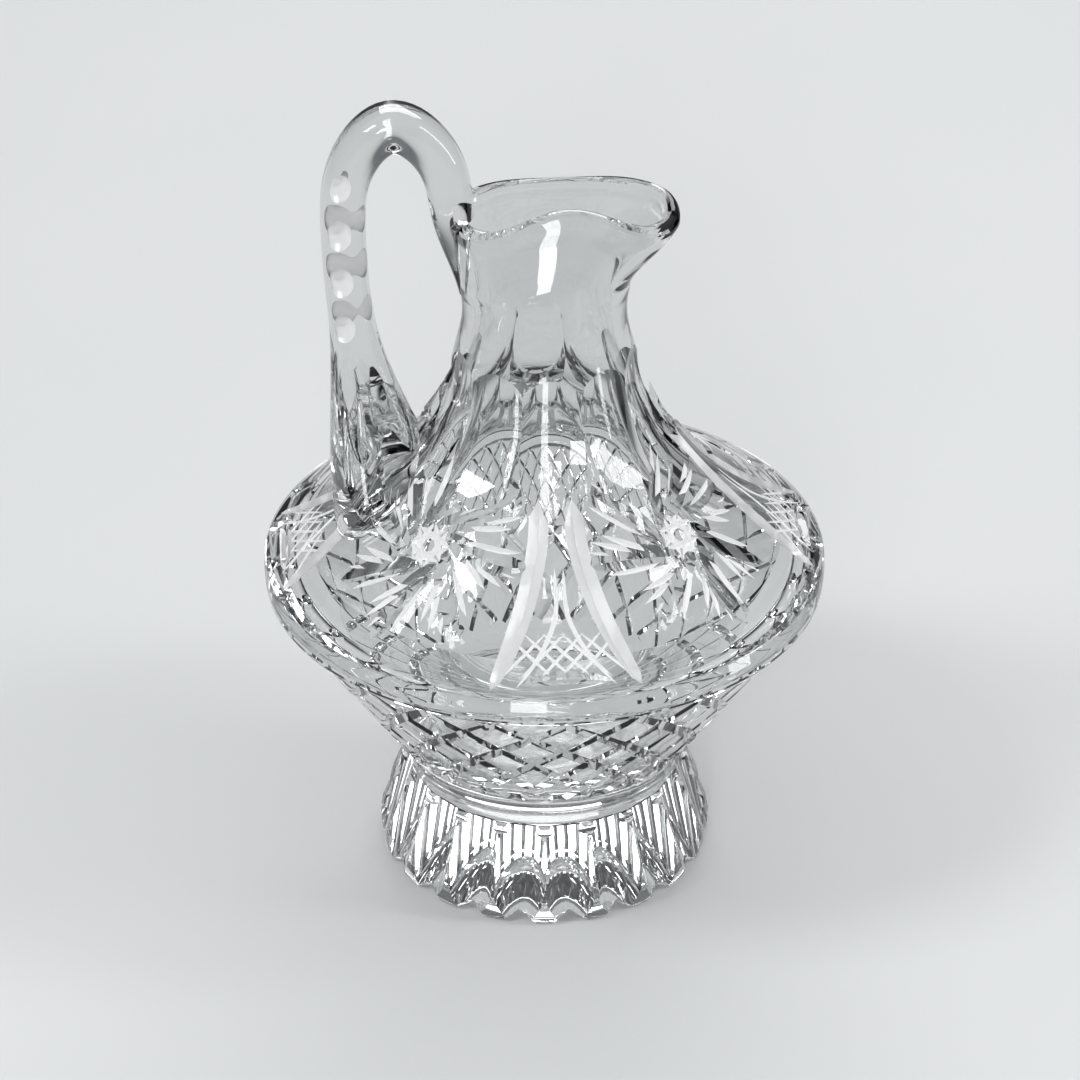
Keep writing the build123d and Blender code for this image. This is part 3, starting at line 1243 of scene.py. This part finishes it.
@dataclass(frozen=True)
class SoftBox:
    """One soft box that faces the ewer, with its place and size in metres and its power in watts."""

    name: str
    place: tuple
    size: tuple
    power: float

    def hang(self, aim: tuple) -> None:
        """Hang the lamp so that it faces a point.

        Args:
            aim: the point.
        """
        light = bpy.data.lights.new(self.name, "AREA")
        light.shape, light.energy = "RECTANGLE", self.power
        light.size, light.size_y = self.size
        thing = placed(self.name, light)
        thing.location = self.place
        way = np.array(aim) - np.array(self.place)
        tilt = math.acos(-way[2] / np.linalg.norm(way))
        thing.rotation_euler = (tilt, 0, math.atan2(way[1], way[0]) - math.pi / 2)


@dataclass
class Studio:
    """The pale sweep, the soft boxes and the camera, in metres."""

    paper: Paper = field(default_factory=Paper)
    lamps: tuple = (
        SoftBox("key soft box", (-1.0, -0.35, 1.3), (0.45, 0.45), 8),
        SoftBox("front soft box", (-0.25, -1.3, 0.65), (0.35, 0.5), 6),
        SoftBox("side strip", (1.1, -0.2, 0.7), (0.25, 1.0), 6),
        SoftBox("back soft box", (0.2, 1.2, 1.0), (1.2, 0.5), 8),
    )
    aim: tuple = (0, 0, 0.12)
    half_width: float = 3.0
    front: float = -2.5
    bend_start: float = 1.6
    bend_radius: float = 0.8
    wall_top: float = 3.0
    # The gap of air under the foot, so that its base mirrors the flutes as real glass does.
    air: float = 0.0006
    distance: float = 1.05
    pitch: float = math.radians(32)
    azimuth: float = math.radians(-4.5)
    target: float = 0.102
    sensor: float = 36.0
    pixels_per_metre: float = 3450.0
    picture: float = 1080.0
    axis_column: float = 544.5

    def sweep(self) -> None:
        """Build the floor, which curves up into the backdrop by a quarter circle."""
        bend = [(self.bend_start + self.bend_radius * math.sin(a), self.bend_radius * (1 - math.cos(a)))
                for a in np.linspace(0.1, math.pi / 2, 12)]
        rows = [(self.front, 0), (self.bend_start, 0)] + bend
        rows.append((self.bend_start + self.bend_radius, self.wall_top))
        verts = [(x, y, z - self.air) for y, z in rows for x in (-self.half_width, self.half_width)]
        faces = [(2 * i, 2 * i + 1, 2 * i + 3, 2 * i + 2) for i in range(len(rows) - 1)]
        mesh = bpy.data.meshes.new("studio_sweep")
        mesh.from_pydata(verts, [], faces)
        mesh.materials.append(self.paper.material())
        mesh.polygons.foreach_set("use_smooth", np.ones(len(mesh.polygons), bool))
        floor = placed("studio_sweep", mesh)

    def sky(self) -> None:
        """Paint the room: soft light from above with darker walls, which draw the glass's edges.

        Past the end of the sweep the eye sees the colour of its paper.
        """
        world = bpy.data.worlds.new("studio room")
        bpy.context.scene.world = world
        tree = empty_tree(world)
        where = add_node(tree, "TexCoord")
        parts = add_node(tree, "SeparateXYZ", {"Vector": where.outputs["Generated"]})
        ramp = add_node(tree, "ValToRGB", {"Fac": parts.outputs["Z"]})
        stops = ramp.color_ramp.elements
        stops[0].position, stops[0].color = 0.0, linear("#1E2124")
        stops[1].position, stops[1].color = 0.75, linear("#F4F6F8")
        stops.new(0.3).color = linear("#3A3F44")
        light = add_node(tree, "Background", {"Color": ramp.outputs["Color"], "Strength": 0.7})
        wall = add_node(tree, "Background", {"Color": linear(self.paper.far), "Strength": 1.0})
        ray = add_node(tree, "LightPath")
        both = add_node(tree, "MixShader",
                        {0: ray.outputs["Is Camera Ray"], 1: light.outputs[0], 2: wall.outputs[0]})
        add_node(tree, "OutputWorld", {"Surface": both.outputs[0]})

    def camera(self) -> None:
        """Place the camera at the photograph's angle."""
        lens = bpy.data.cameras.new("camera")
        lens.sensor_width = self.sensor
        lens.lens = self.pixels_per_metre * self.distance / self.picture * self.sensor
        lens.shift_x = -(self.axis_column - self.picture / 2) / self.picture
        thing = placed("camera", lens)
        flat = self.distance * math.cos(self.pitch)
        thing.location = (flat * math.sin(self.azimuth), -flat * math.cos(self.azimuth),
                          self.target + self.distance * math.sin(self.pitch))
        thing.rotation_euler = (math.pi / 2 - self.pitch, 0, self.azimuth)
        bpy.context.scene.camera = thing

    def build(self) -> None:
        """Build the whole studio."""
        self.sweep()
        self.sky()
        for lamp in self.lamps:
            lamp.hang(self.aim)
        self.camera()
        bpy.context.scene.view_settings.view_transform = "Standard"


def main() -> None:
    """Build the ewer and the studio."""
    logging.basicConfig(level=logging.INFO, format="%(name)s: %(message)s")
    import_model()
    body = Body()
    body.build()
    Foot().build()
    Handle().build(body)
    Studio().build()


if __name__ == "__main__":
    main()
